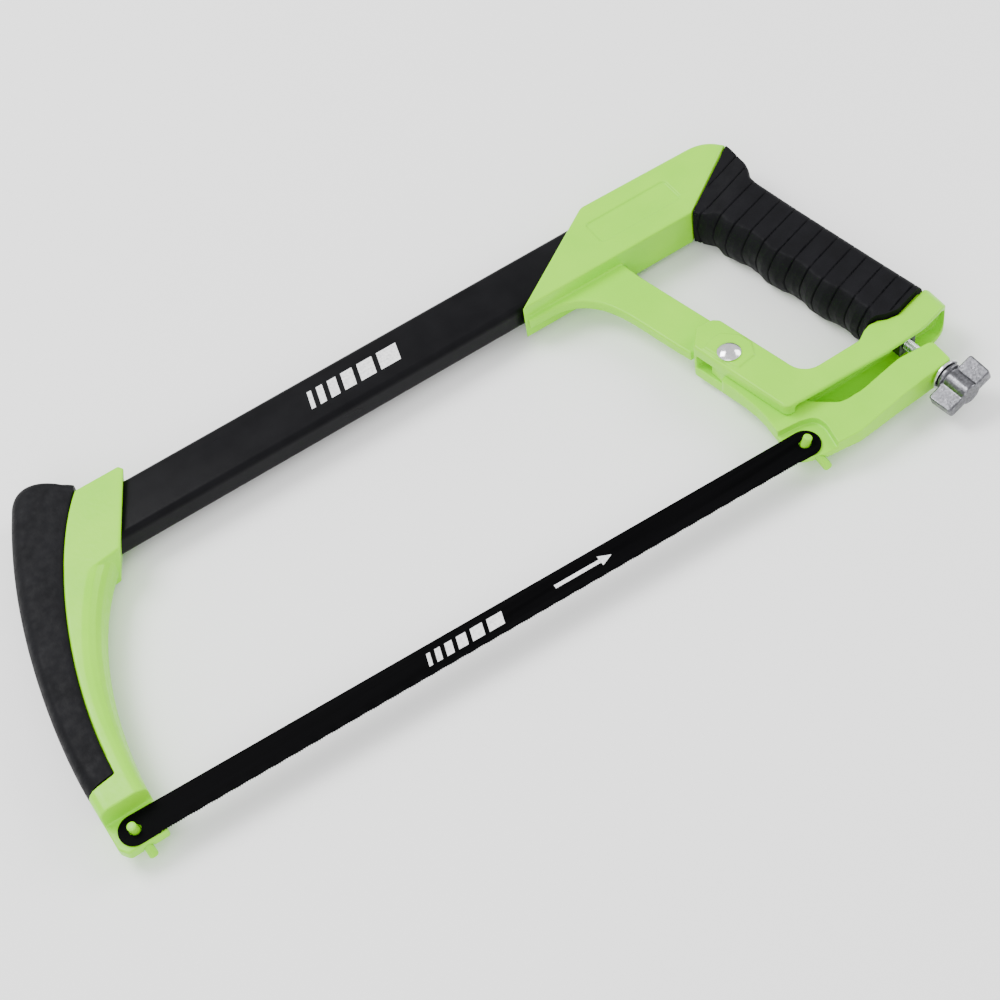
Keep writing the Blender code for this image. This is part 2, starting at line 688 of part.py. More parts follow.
def from_collar(x, y):
    """How far a point is from the line where the grip meets the collar."""
    top, bottom = (Vector(p) for p in grip_line())
    run = (bottom - top).normalized()
    return (Vector((x, y)) - top).dot(Vector((-run.y, run.x)))


def grip_rim(x, y):
    """How round the grip's rims are: full on the long sides, small beside the collar."""
    return GRIP_END_ROUND + (GRIP_ROUND - GRIP_END_ROUND) * eased(from_collar(x, y), 12.0, 30.0)


def shoulder_wedges():
    """What slopes the grip's two faces down to the collar's."""
    top, bottom = grip_line()
    half = GRIP_THICK / 2
    wedges = []
    for side in (1, -1):
        low, high, over = side * (FACE - 0.3), side * (half + 0.2), side * (half + 4)
        profile = [(-4, low), (SHOULDER, high), (SHOULDER, over), (-4, over)]
        wedges.append(place(prism("wedge", profile, -30, 80), slanted(bottom, top)))
    return wedges


def handle_grip():
    """The rubber grip, hollow for the casting's core."""
    half = GRIP_THICK / 2
    grip = prism("handle_grip", grip_outline(), -half, half, grip_rim, 5)
    floor = grip_floor(GAP + 0.1)
    below = [rear(30.0, 10.0), (REAR_X + 30.0, floor[0][1]), *floor, rear(100.0, 30.0), rear(100.0, 10.0)]
    return cut(grip, [*shoulder_wedges(), prism("below", below, -half - 2, half + 2), grip_core(GAP)])


def lever_outline():
    """The lever's outline: round the rivet, down beside the leg, round the blade's seat, back to the screw."""
    eye = [(PIVOT[0] + 7.4 * math.cos(math.radians(a)), PIVOT[1] + 7.4 * math.sin(math.radians(a)))
           for a in range(20, 141, 15)]
    corners = [
        (*rear(-9.0, 48.0), 6.0),
        (*rear(-6.6, 39.0), 30.0),
        (*rear(-4.8, 22.0), 20.0),
        (*rear(-6.4, 7.0), 6.0),
        (*rear(-6.6, -4.0), 5.0),
        (*rear(4.0, -8.4), 5.0),
        (*rear(20.0, -10.2), 8.0),
        (*rear(44.0, -7.2), 20.0),
        (*rear(70.2, -5.2), 1.6),
        (*rear(70.6, 7.2), 2.6),
        (*rear(54.0, 8.4), 10.0),
        (*rear(33.0, 5.4), 10.0),
        (*rear(23.0, 5.8), 8.0),
        (*rear(12.4, 15.6), 8.0),
        (*rear(8.6, 38.0), 12.0),
    ]
    return rounded(corners) + eye


def seat_pocket():
    """The hollow in the lever's near face where the blade's rear end lies, down to the saw's middle plane."""
    corners = [rear(-14, 10.6), (*rear(4.2, 8.8), 3.0), (*rear(10.6, 6.8), 5.0), (*rear(11.6, 1.0), 5.0),
               rear(8.4, -14), rear(-14, -14)]
    return prism("pocket", rounded(corners), 0, 8, 0)


def tension_lever():
    """The green lever with the rear blade pin; its end is forked round the tension screw."""
    half, end_half = LEVER_THICK / 2, LEVER_END_THICK / 2
    lever = prism("tension_lever", lever_outline(), -end_half, end_half, 0.8, 2)
    thinning = []
    for side in (1, -1):
        high, over = side * (end_half + 0.2), side * (end_half + 4)
        start = [(-30, side * half), (LEVER_THIN_TO, side * half)]
        profile = start + [(LEVER_THICK_FROM, high), (LEVER_THICK_FROM, over), (-30, over)]
        thinning.append(place(prism("thinning", profile, -30, 80), upright(REAR_X, REAR_Y)))
    lever = cut(lever, thinning)
    rivet_hole = cylinder("hole", RIVET_DIAMETER / 2 + GAP, -20, 20, centre=PIVOT)
    floor, side = -SCREW_DIAMETER / 2 - 2 * GAP, SCREW_DIAMETER / 2 + 2 * GAP
    fork = prism("fork", rounded([(floor, -side, 2.0), (20, -side), (20, side), (floor, side, 2.0)]), -25, 8)
    cross = Matrix.Translation(SCREW_FOOT) @ Matrix(
        ((math.cos(SCREW_LEAN), 0, SCREW_DIRECTION.x, 0), (math.sin(SCREW_LEAN), 0, SCREW_DIRECTION.y, 0),
         (0, 1, 0, 0), (0, 0, 0, 1)))
    return cut(lever, [seat_pocket(), rivet_hole, place(fork, cross)] + blade_pins("rear", GAP))


def pivot_rivet():
    """The rivet through clevis and lever, with a domed head on both sides."""
    shank, head = RIVET_DIAMETER / 2, RIVET_HEAD / 2
    seat = FACE + PAD_HEIGHT + GAP
    brim = seat + 0.4
    angles = [math.radians(a) for a in range(0, 90, 15)]
    dome = [(head * math.cos(a), brim + RIVET_RISE * math.sin(a)) for a in angles]
    upper = [(shank, seat), (head, seat)] + dome + [(0, brim + RIVET_RISE)]
    lower = [(r, -z) for r, z in reversed(upper)]
    rivet = lathe("pivot_rivet", lower + upper)
    return place(rivet, Matrix.Translation((PIVOT[0], PIVOT[1], 0)))


def blade():
    """The saw blade: round ends, a hole in each, teeth on the side away from the tube."""
    half = BLADE_WIDTH / 2
    left = [(half * math.cos(math.radians(a)), half * math.sin(math.radians(a))) for a in range(90, 271, 12)]
    right = [(BLADE_CENTRES - x, -y) for x, y in left]
    strip = prism("blade", left + right, GAP, GAP + BLADE_THICK)
    holes = [cylinder("hole", BLADE_HOLE, -2, 5, 24, centre=(x, 0)) for x in (0, BLADE_CENTRES)]
    return place(cut(strip, holes), Matrix.Rotation(-TILT, 4, "Z"))


def nut_block(name, grow=0.0):
    """The square nut under the roof of the D bar's channel."""
    half = NUT_SIDE / 2 + grow
    roof = (SCREW_FOOT.y - CHANNEL_ROOF) / -SCREW_DIRECTION.y
    low, high = roof + 0.9 - grow, roof + 0.9 + NUT_THICK + grow
    corners = [(-half, -half, 0.8), (half, -half, 0.8), (half, half, 0.8), (-half, half, 0.8)]
    return place(prism(name, rounded(corners), low, high), along(SCREW_FOOT, SCREW_DIRECTION))


def tension_nut():
    """The captive square nut that the tension screw turns in."""
    hole = screw_line("hole", SCREW_DIAMETER / 2 + GAP, -60, 10)
    return cut(nut_block("tension_nut"), [hole])


def tension_screw():
    """The screw, from inside the handle down through nut, lever fork, washer and knob."""
    return screw_line("tension_screw", SCREW_DIAMETER / 2, -SCREW_LENGTH_IN, KNOB_FOOT + KNOB_SOCKET, 0.5)


def screw_washer():
    """The washer between the lever's end and the knob."""
    start = KNOB_FOOT - GAP - WASHER_THICK
    washer = screw_line("screw_washer", WASHER_DIAMETER / 2, start, start + WASHER_THICK, 0.2)
    return cut(washer, [screw_line("hole", SCREW_DIAMETER / 2 + GAP, -5, 20)])


def wing_knob():
    """The wing knob: a flange, a round hub and two flat wings."""
    span = KNOB_SPAN / 2
    flange = lathe("wing_knob", [(0, 0), (5.9, 0), (6.2, 0.3), (6.2, 1.3), (5.4, 1.9), (0, 1.9)])
    hub = cylinder("hub", KNOB_HUB / 2, 0.5, KNOB_HEIGHT, 32, 0.5)
    half = KNOB_WING / 2
    wing = rounded([(-span, 1.6, 1.2), (span, 1.6, 1.2), (span - 0.6, KNOB_HEIGHT - 0.2, 1.2),
                    (-span + 0.6, KNOB_HEIGHT - 0.2, 1.2)])
    wings = prism("wings", wing, -half, half, 0.5, 2)
    knob = joined(flange, [hub, place(wings, upright(0, 0))])
    spot = along(SCREW_FOOT + SCREW_DIRECTION * KNOB_FOOT, SCREW_DIRECTION) @ knob_turn()
    place(knob, spot)
    return cut(knob, [screw_line("hole", SCREW_DIAMETER / 2 + GAP, -30, KNOB_FOOT + KNOB_SOCKET + GAP)])


def knob_turn():
    """Turns the knob's X to the saw's X, then by its angle out of the saw's plane."""
    frame = along((0, 0, 0), SCREW_DIRECTION).to_3x3().inverted()
    side = frame @ Vector((math.cos(SCREW_LEAN), math.sin(SCREW_LEAN), 0))
    angle = math.atan2(side.y, side.x)
    up = frame @ Vector((0, 0, 1))
    sense = 1 if (side.x * up.y - side.y * up.x) > 0 else -1
    return Matrix.Rotation(angle + sense * math.radians(KNOB_TURN), 4, "Z")


def paint(piece, colour, roughness, metallic):
    """The piece's own Principled material."""
    material = bpy.data.materials.new(piece.name)
    material.use_nodes = True
    shader = material.node_tree.nodes["Principled BSDF"]
    shader.inputs["Base Color"].default_value = (*colour, 1)
    shader.inputs["Roughness"].default_value = roughness
    shader.inputs["Metallic"].default_value = metallic
    piece.data.materials.clear()
    piece.data.materials.append(material)


GREEN = ((0.42, 0.80, 0.13), 0.35, 0.0)
TUBE_BLACK = ((0.012, 0.012, 0.014), 0.3, 0.0)
RUBBER = ((0.018, 0.018, 0.020), 0.75, 0.0)
BLADE_BLACK = ((0.008, 0.008, 0.009), 0.5, 0.0)
STEEL = ((0.62, 0.62, 0.64), 0.25, 1.0)
CAST_METAL = ((0.55, 0.55, 0.58), 0.4, 1.0)
DARK_STEEL = ((0.08, 0.08, 0.09), 0.45, 1.0)


def pivot_empty(name, spot):
    """An empty on a joint's axis."""
    empty = bpy.data.objects.new(name, None)
    empty.location = Vector(spot) * MM
    bpy.context.scene.collection.objects.link(empty)
    return empty


def hang(piece, empty):
    """Parents a piece to an empty, with its place unchanged."""
    piece.data.transform(Matrix.Translation(-empty.location))
    piece.parent = empty


def stand_on_origin(pieces, roots):
    """Moves everything so that the origin is the middle of the underside."""
    bpy.context.view_layer.update()
    corners = [p.matrix_world @ Vector(c) for p in pieces for c in p.bound_box]
    low = Vector([min(c[i] for c in corners) for i in range(3)])
    high = Vector([max(c[i] for c in corners) for i in range(3)])
    shift = Vector((-(low.x + high.x) / 2, -(low.y + high.y) / 2, -low.z))
    for root in roots:
        root.location += shift


def main():
    """Builds every piece, paints it and hangs the moving ones on their joints."""
    for old in list(bpy.data.objects):
        bpy.data.objects.remove(old, do_unlink=True)
    fixed = {
        spine_tube(): TUBE_BLACK,
        front_casting(): GREEN,
        front_grip(): RUBBER,
        handle_casting(): GREEN,
        handle_grip(): RUBBER,
        pivot_rivet(): STEEL,
        tension_nut(): DARK_STEEL,
    }
    for screw in collar_screws():
        fixed[screw] = DARK_STEEL
    on_lever = {tension_lever(): GREEN}
    for piece in blade_pins("front"):
        fixed[piece] = GREEN
    for piece in blade_pins("rear"):
        on_lever[piece] = GREEN
    on_screw = {screw_washer(): STEEL, tension_screw(): STEEL, wing_knob(): CAST_METAL}
    blade_piece = blade()
    lever_axis = pivot_empty("lever_axis", (*PIVOT, 0))
    screw_axis = pivot_empty("screw_axis", SCREW_FOOT)
    blade_axis = pivot_empty("blade_axis", (0, 0, 0))
    for piece in on_lever:
        hang(piece, lever_axis)
    for piece in on_screw:
        hang(piece, screw_axis)
    hang(blade_piece, blade_axis)
    finishes = {**fixed, **on_lever, **on_screw, blade_piece: BLADE_BLACK}
    for piece, finish in finishes.items():
        paint(piece, *finish)
        piece.data.shade_smooth()
        piece.data.set_sharp_from_angle(angle=math.radians(30))
    stand_on_origin(list(finishes), [*fixed, lever_axis, screw_axis, blade_axis])


main()
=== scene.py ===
"""Looks of a high-tension hacksaw that lies on its far side.

Shapes are given in the saw's own millimetres: X along the tube towards the handle, Y from the blade up to the
tube, Z towards the near side, measured from the front blade pin at the middle of the tube's thickness."""
import json
import math

import bmesh
import bpy
import numpy as np
from mathutils import Matrix, Vector


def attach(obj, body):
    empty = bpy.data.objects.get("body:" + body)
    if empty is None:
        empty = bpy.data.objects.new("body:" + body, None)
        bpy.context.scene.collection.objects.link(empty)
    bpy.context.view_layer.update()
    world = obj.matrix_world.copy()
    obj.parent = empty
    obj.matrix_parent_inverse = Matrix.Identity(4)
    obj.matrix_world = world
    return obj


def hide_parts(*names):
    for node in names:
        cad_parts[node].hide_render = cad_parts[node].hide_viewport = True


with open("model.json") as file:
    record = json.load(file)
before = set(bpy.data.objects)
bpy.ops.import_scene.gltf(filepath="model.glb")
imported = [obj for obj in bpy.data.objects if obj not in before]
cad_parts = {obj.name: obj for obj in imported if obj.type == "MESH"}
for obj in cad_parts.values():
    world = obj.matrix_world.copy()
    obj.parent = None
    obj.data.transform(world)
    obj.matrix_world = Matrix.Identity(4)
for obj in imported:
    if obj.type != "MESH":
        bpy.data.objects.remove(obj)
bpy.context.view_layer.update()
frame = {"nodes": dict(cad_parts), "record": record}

MM = 0.001
TURN = 2 * math.pi
joints = {joint["name"]: joint for joint in frame["record"]["behaviour"]["joints"]}
FRONT_PIN = np.array(joints["blade_lift"]["pos_m"])
SCREW_SPOT = np.array(joints["knob_turn"]["pos_m"])
SCREW_AXIS = np.array(joints["knob_turn"]["axis"])
RIVET_SPOT = np.array(joints["lever_pivot"]["pos_m"])

BLADE_TILT = math.radians(1.9)
BLADE_LENGTH = 300.0
BLADE_HALF = 6.5
BLADE_FACES = (0.3, 0.95)
TUBE_MIDDLE = 131.0
TUBE_HEIGHT = 26.5
TUBE_THICK = 12.0
TUBE_WALL = 1.5
TUBE_CORNER = 3.0
TUBE_ENDS = (40.0, 330.8)
FACE = 9.5
NOSE_HALF = 9.9
GRIP_HALF = 12.0
SCREW_LONG = (-39.0, 9.7)
THREAD_PITCH = 0.8
THREAD_ROOT = 1.98
PIN_RADIUS = 1.9


# Building surfaces

def shell(name, points, faces, body, flat_over=30.0):
    """A piece from points in the saw's millimetres: seams merged, faces turned outwards, shading smooth but for
    edges sharper than flat_over degrees."""
    mesh = bpy.data.meshes.new(name)
    mesh.from_pydata(FRONT_PIN + MM * np.asarray(points), [], faces)
    bm = bmesh.new()
    bm.from_mesh(mesh)
    bmesh.ops.remove_doubles(bm, verts=bm.verts[:], dist=2e-7)
    bmesh.ops.dissolve_degenerate(bm, edges=bm.edges[:], dist=1e-7)
    bmesh.ops.recalc_face_normals(bm, faces=bm.faces[:])
    bm.to_mesh(mesh)
    bm.free()
    return shown(name, mesh, body, flat_over)


def shown(name, mesh, body, flat_over=30.0):
    """Puts a finished mesh in the scene as a piece that rides on a body."""
    mesh.shade_smooth()
    mesh.set_sharp_from_angle(angle=math.radians(flat_over))
    piece = bpy.data.objects.new(name, mesh)
    bpy.context.scene.collection.objects.link(piece)
    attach(piece, body)
    return piece


def ring_faces(rows, columns, around=True, along=False):
    """Four-sided faces of a grid of rows x columns, joined round each row, and from last row to first."""
    last_row = rows if along else rows - 1
    last_column = columns if around else columns - 1
    i, j = np.meshgrid(np.arange(last_row), np.arange(last_column), indexing="ij")
    up = (i + 1) % rows
    side = (j + 1) % columns
    faces = np.stack([i * columns + j, i * columns + side, up * columns + side, up * columns + j], axis=-1)
    return faces.reshape(-1, 4).tolist()


def stacked(name, rings, body, flat_over=30.0):
    """Rings of points, each joined to the next; the first and the last are closed by one flat face each."""
    rows, columns = rings.shape[:2]
    faces = ring_faces(rows, columns)
    faces.append(list(range(columns)))
    faces.append(list(range((rows - 1) * columns, rows * columns)))
    return shell(name, rings.reshape(-1, 3), faces, body, flat_over)


def turned(profile, sides=64):
    """Rings of a round piece about Z, for (radius, height) rows: each row is a circle of that radius."""
    profile = np.asarray(profile, float)
    angle = np.linspace(0, TURN, sides, endpoint=False)[None, :]
    radius = profile[:, :1]
    height = np.broadcast_to(profile[:, 1:], (len(profile), sides))
    return np.stack([radius * np.cos(angle), radius * np.sin(angle), height], axis=-1)


def arc(centre, radius, start, end, steps=8):
    """Points of a circle's arc, in (radius, height) or (x, y), between two angles in degrees."""
    angle = np.radians(np.linspace(start, end, steps + 1))
    return np.stack([centre[0] + radius * np.cos(angle), centre[1] + radius * np.sin(angle)], axis=-1)


def aimed(points, foot, direction):
    """Turns points from about Z to about a direction, and stands them on a foot."""
    turn = np.array(Vector(direction).to_track_quat("Z", "Y").to_matrix())
    return points @ turn.T + np.asarray(foot)


def eased(value, start, end):
    """0 before start, 1 after end, with a smooth cubic rise between."""
    share = np.clip((value - start) / (end - start), 0, 1)
    return share * share * (3 - 2 * share)


def curve(first, pull_first, pull_last, last, count=60):
    """A cubic curve between two points with two pulls: their Bernstein-weighted sum."""
    t = np.linspace(0, 1, count)[:, None]
    return ((1 - t) ** 3 * first + 3 * (1 - t) ** 2 * t * np.array(pull_first)
            + 3 * (1 - t) * t * t * np.array(pull_last) + t**3 * np.array(last))


# Finishes

def material(name, colour, roughness, metallic=0.0):
    """A new node material: its tree, its shader, and the object's own coordinates."""
    made = bpy.data.materials.new(name)
    made.use_nodes = True
    tree = made.node_tree
    shader = tree.nodes["Principled BSDF"]
    shader.inputs["Base Color"].default_value = (*colour, 1)
    shader.inputs["Roughness"].default_value = roughness
    shader.inputs["Metallic"].default_value = metallic
    place = tree.nodes.new("ShaderNodeTexCoord")
    return made, tree, shader, place.outputs["Object"]


def noise(tree, place, scale, detail=3.0, stretch=None):
    """A noise field over the object, stretched along an axis where a scale vector is given."""
    if stretch:
        mapping = tree.nodes.new("ShaderNodeMapping")
        mapping.inputs["Scale"].default_value = stretch
        tree.links.new(place, mapping.inputs["Vector"])
        place = mapping.outputs["Vector"]
    field = tree.nodes.new("ShaderNodeTexNoise")
    field.inputs["Scale"].default_value = scale
    field.inputs["Detail"].default_value = detail
    tree.links.new(place, field.inputs["Vector"])
    return field.outputs["Fac"]


def spread(tree, value, low, high, start=0.3, end=0.7):
    """Maps a field from start..end to low..high."""
    node = tree.nodes.new("ShaderNodeMapRange")
    for socket, number in zip(("From Min", "From Max", "To Min", "To Max"), (start, end, low, high)):
        node.inputs[socket].default_value = number
    tree.links.new(value, node.inputs["Value"])
    return node.outputs["Result"]


def blend_colours(tree, share, first, second):
    """Mixes two colours by a field."""
    node = tree.nodes.new("ShaderNodeMix")
    node.data_type = "RGBA"
    node.inputs["A"].default_value = (*first, 1)
    node.inputs["B"].default_value = (*second, 1)
    tree.links.new(share, node.inputs["Factor"])
    return node.outputs["Result"]


def bumped(tree, shader, layers):
    """Puts bump layers of (field, depth in metres) on top of each other."""
    below = None
    for field, depth in layers:
        node = tree.nodes.new("ShaderNodeBump")
        node.inputs["Strength"].default_value = 1.0
        node.inputs["Distance"].default_value = depth
        tree.links.new(field, node.inputs["Height"])
        if below:
            tree.links.new(below, node.inputs["Normal"])
        below = node.outputs["Normal"]
    tree.links.new(below, shader.inputs["Normal"])


def green_paint():
    """Half-gloss lime paint on a casting: a slow change of shade, orange peel, and uneven gloss."""
    made, tree, shader, place = material("green_paint", (0.26, 0.72, 0.004), 0.3)
    shade = spread(tree, noise(tree, place, 45.0, 4.0), 0, 1)
    tree.links.new(blend_colours(tree, shade, (0.245, 0.70, 0.003), (0.28, 0.745, 0.006)),
                   shader.inputs["Base Color"])
    tree.links.new(spread(tree, noise(tree, place, 260.0, 5.0), 0.28, 0.42), shader.inputs["Roughness"])
    shader.inputs["Specular IOR Level"].default_value = 0.3
    bumped(tree, shader, [(noise(tree, place, 420.0, 2.0), 0.00006), (noise(tree, place, 1500.0, 2.0), 0.000015)])
    return made


def tube_paint():
    """Dull black powder coat: fine orange peel and a little unevenness in the gloss."""
    made, tree, shader, place = material("tube_paint", (0.011, 0.011, 0.013), 0.3)
    tree.links.new(spread(tree, noise(tree, place, 60.0, 4.0, (0.25, 1, 1)), 0.26, 0.38), shader.inputs["Roughness"])
    shade = spread(tree, noise(tree, place, 90.0, 5.0), 0, 1)
    tree.links.new(blend_colours(tree, shade, (0.0018, 0.0018, 0.0026), (0.004, 0.004, 0.005)),
                   shader.inputs["Base Color"])
    shader.inputs["Specular IOR Level"].default_value = 0.1
    bumped(tree, shader, [(noise(tree, place, 700.0, 2.0), 0.00003)])
    return made


def rubber(name, grain, low, high):
    """Black moulded rubber: fine grain, cloudy roughness and a faint bloom."""
    made, tree, shader, place = material(name, (0.02, 0.02, 0.022), 0.6)
    bloom = spread(tree, noise(tree, place, 110.0, 6.0), 0, 1, 0.35, 0.75)
    tree.links.new(blend_colours(tree, bloom, (0.003, 0.003, 0.004), (0.0055, 0.0055, 0.007)),
                   shader.inputs["Base Color"])
    tree.links.new(spread(tree, noise(tree, place, 300.0, 5.0), low, high), shader.inputs["Roughness"])
    shader.inputs["Specular IOR Level"].default_value = 0.09
    bumped(tree, shader, [(noise(tree, place, grain, 4.0), 0.00010), (noise(tree, place, grain * 3.2, 2.0), 0.00003)])
    return made


def blade_paint():
    """Dull black paint on rolled strip, with faint lines along it."""
    made, tree, shader, place = material("blade_paint", (0.006, 0.006, 0.007), 0.5)
    lines = noise(tree, place, 220.0, 3.0, (0.05, 1.6, 1.6))
    tree.links.new(blend_colours(tree, spread(tree, lines, 0, 1), (0.0006, 0.0006, 0.0008), (0.002, 0.002, 0.0024)),
                   shader.inputs["Base Color"])
    shader.inputs["Specular IOR Level"].default_value = 0.02
    tree.links.new(spread(tree, lines, 0.42, 0.6), shader.inputs["Roughness"])
    bumped(tree, shader, [(lines, 0.00002), (noise(tree, place, 1100.0, 2.0), 0.00001)])
    return made


def bright_steel():
    """Polished plated steel with fine turning marks."""
    made, tree, shader, place = material("bright_steel", (0.72, 0.72, 0.74), 0.18, 1.0)
    marks = noise(tree, place, 500.0, 4.0, (1, 1, 0.4))
    tree.links.new(spread(tree, marks, 0.10, 0.26), shader.inputs["Roughness"])
    tree.links.new(blend_colours(tree, spread(tree, marks, 0, 1), (0.66, 0.66, 0.69), (0.78, 0.78, 0.79)),
                   shader.inputs["Base Color"])
    bumped(tree, shader, [(marks, 0.00001)])
    return made


def cast_metal():
    """Raw cast zinc: a fine grainy skin with paler worn grains."""
    made, tree, shader, place = material("cast_metal", (0.42, 0.42, 0.45), 0.45, 1.0)
    grain = noise(tree, place, 900.0, 6.0)
    tree.links.new(blend_colours(tree, spread(tree, grain, 0, 1, 0.4, 0.68), (0.11, 0.11, 0.12), (0.21, 0.21, 0.23)),
                   shader.inputs["Base Color"])
    tree.links.new(spread(tree, noise(tree, place, 300.0, 5.0), 0.22, 0.36), shader.inputs["Roughness"])
    bumped(tree, shader, [(grain, 0.00005), (noise(tree, place, 260.0, 3.0), 0.0001)])
    return made


def dark_steel():
    """Blackened steel with oil stains."""
    made, tree, shader, place = material("dark_steel", (0.07, 0.07, 0.08), 0.4, 1.0)
    stain = spread(tree, noise(tree, place, 240.0, 5.0), 0, 1)
    tree.links.new(blend_colours(tree, stain, (0.045, 0.045, 0.05), (0.12, 0.12, 0.13)), shader.inputs["Base Color"])
    tree.links.new(spread(tree, noise(tree, place, 500.0, 4.0), 0.3, 0.55), shader.inputs["Roughness"])
    bumped(tree, shader, [(noise(tree, place, 800.0, 3.0), 0.00003)])
    return made


def white_print():
    """Screen-printed white ink: slightly uneven, thinner in places."""
    made, tree, shader, place = material("white_print", (0.8, 0.8, 0.8), 0.5)
    thin = spread(tree, noise(tree, place, 900.0, 5.0), 0, 1, 0.35, 0.6)
    tree.links.new(blend_colours(tree, thin, (0.62, 0.62, 0.63), (0.86, 0.86, 0.86)), shader.inputs["Base Color"])
    tree.links.new(spread(tree, noise(tree, place, 400.0, 3.0), 0.4, 0.62), shader.inputs["Roughness"])
    return made


GREEN = green_paint()
TUBE_BLACK = tube_paint()
GRIP_RUBBER = rubber("grip_rubber", 900.0, 0.5, 0.68)
NOSE_RUBBER = rubber("nose_rubber", 700.0, 0.46, 0.66)
BLADE_BLACK = blade_paint()
STEEL = bright_steel()
CAST = cast_metal()
DARK = dark_steel()
PRINT = white_print()


def finished(piece, finish, *nodes):
    """Gives a piece its material and hides the CAD nodes it stands for."""
    piece.data.materials.clear()
    piece.data.materials.append(finish)
    if nodes:
        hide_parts(*nodes)
    return piece


# Castings

def softened(node, body, grain, passes, keep=1.0):
    """A cast piece's own solid with every edge and inside corner softened: an even grid of small faces laid over
    it, each point moved towards the mean of its neighbours a few times, and flat areas thinned out again."""
    mesh = frame["nodes"][node].data.copy()
    bm = bmesh.new()
    bm.from_mesh(mesh)
    bmesh.ops.remove_doubles(bm, verts=bm.verts[:], dist=1e-6)
    bmesh.ops.recalc_face_normals(bm, faces=bm.faces[:])
    bm.to_mesh(mesh)
    bm.free()
    draft = bpy.data.objects.new("draft", mesh)
    bpy.context.scene.collection.objects.link(draft)
    even = draft.modifiers.new("even", "REMESH")
    even.mode = "VOXEL"
    even.voxel_size = grain * MM
    soft = draft.modifiers.new("soft", "SMOOTH")
    soft.factor = 0.5
    soft.iterations = passes
    if keep < 1:
        thin = draft.modifiers.new("thin", "DECIMATE")
        thin.ratio = keep
    graph = bpy.context.evaluated_depsgraph_get()
    graph.update()
    made = bpy.data.meshes.new_from_object(draft.evaluated_get(graph))
    bpy.data.objects.remove(draft)
    made.materials.clear()
    return shown(node + "_cast", made, body, 180.0)


finished(softened("handle_casting", "frame", 0.36, 5, 0.24), GREEN, "handle_casting")
finished(softened("front_casting", "frame", 0.36, 5, 0.4), GREEN, "front_casting")
finished(softened("tension_lever", "lever", 0.3, 6, 0.5), GREEN, "tension_lever")
finished(softened("wing_knob", "knob", 0.18, 3), CAST, "wing_knob")
finished(softened("tension_nut", "frame", 0.16, 3), DARK, "tension_nut")


# Frame tube

def tube_rings():
    """The tube's rounded rectangle carried from end to end outside, and back inside."""
    def section(half_y, half_z, corner):
        spots = np.concatenate([
            arc((half_y - corner, half_z - corner), corner, 0, 90),
            arc((-half_y + corner, half_z - corner), corner, 90, 180),
            arc((-half_y + corner, -half_z + corner), corner, 180, 270),
            arc((half_y - corner, -half_z + corner), corner, 270, 360),
        ])
        return spots + (TUBE_MIDDLE, 0)

    outer = section(TUBE_HEIGHT / 2, TUBE_THICK / 2, TUBE_CORNER)
    inner = section(TUBE_HEIGHT / 2 - TUBE_WALL, TUBE_THICK / 2 - TUBE_WALL, TUBE_CORNER - TUBE_WALL)
    start, end = TUBE_ENDS
    rings = [np.insert(loop, 0, x, axis=1)
             for loop, x in ((outer, start), (outer, end), (inner, end), (inner, start))]
    return np.array(rings)


tube = tube_rings()
finished(shell("frame_tube", tube.reshape(-1, 3), ring_faces(*tube.shape[:2], along=True), "frame"),
         TUBE_BLACK, "spine_tube")


# Rubber nose

def nose_edge():
    """The line where green face and rubber meet, from the collar down to the blade."""
    return curve((48.62, 148.5), (28.52, 126.9), (5.72, 71.4), (3.82, 20.35), 120)


def nose_rings():
    """Sections from the green edge out to the nose's outer line, carried from its crown down to its foot. Each
    section is flat near the edge, then turns through a quarter of an ellipse on both sides."""
    crown = curve((50.0, 152.45), (36.03, 170.94), (26.53, 167.94), (22.04, 156.98), 50)
    front = curve((22.04, 156.98), (-3.95, 104.2), (-9.35, 40.1), (-8.86, 18.8), 150)
    outer = np.concatenate([crown, front[1:]])
    share = np.linspace(0, 1, len(outer)) ** 1.25
    line = nose_edge()
    inner = np.stack([np.interp(share, np.linspace(0, 1, len(line)), line[:, k]) for k in (0, 1)], axis=-1)
    reach = np.linalg.norm(outer - inner, axis=1)
    turns = np.linspace(0, math.pi / 2, 15)
    wide = np.minimum(7.4, reach * 0.7)[:, None]
    deep = np.minimum(7.4, 1.2 + reach * 0.55)[:, None]
    near_depth = reach[:, None] - wide * (1 - np.sin(turns)[None])
    near_height = NOSE_HALF - deep * (1 - np.cos(turns)[None])
    flat = (reach[:, None] - wide) * np.array([0.0, 0.02, 0.06, 0.3, 0.6, 0.85])[None]
    flat_height = NOSE_HALF - np.array([0.45, 0.12, 0.0, 0.0, 0.0, 0.0])[None] + 0 * flat
    depth = np.concatenate([flat, near_depth], axis=1)
    height = np.concatenate([flat_height, near_height], axis=1)
    depth = np.concatenate([depth, depth[:, ::-1]], axis=1)
    height = np.concatenate([height, -height[:, ::-1]], axis=1)
    run = (outer - inner) / reach[:, None]
    spot = inner[:, None] + run[:, None] * depth[..., None]
    return np.concatenate([spot, height[..., None]], axis=-1)


finished(stacked("nose_rubber", nose_rings(), "frame"), NOSE_RUBBER, "front_grip")


def nibs():
    """Tiny mould marks on the nose's outside: two low domes."""
    spots = np.array([(21.9, 157.2, 0.0), (17.3, 145.9, 0.0)])
    away = np.array([(-0.93, 0.36, 0.0), (-0.92, 0.38, 0.0)])
    dome = turned(arc((0, -0.3), 0.7, 0, 90, 5), 12)
    return [stacked(f"nose_nib_{i + 1}", aimed(dome, spot, step), "frame")
            for i, (spot, step) in enumerate(zip(spots, away))]


# Rubber grip

GRIP_AXIS = np.array((0.167, -0.986))
GRIP_ACROSS = np.array((0.986, 0.167))
GRIP_MIDDLE = np.array((360.0, 70.0))
GROOVE_PITCH = 8.2


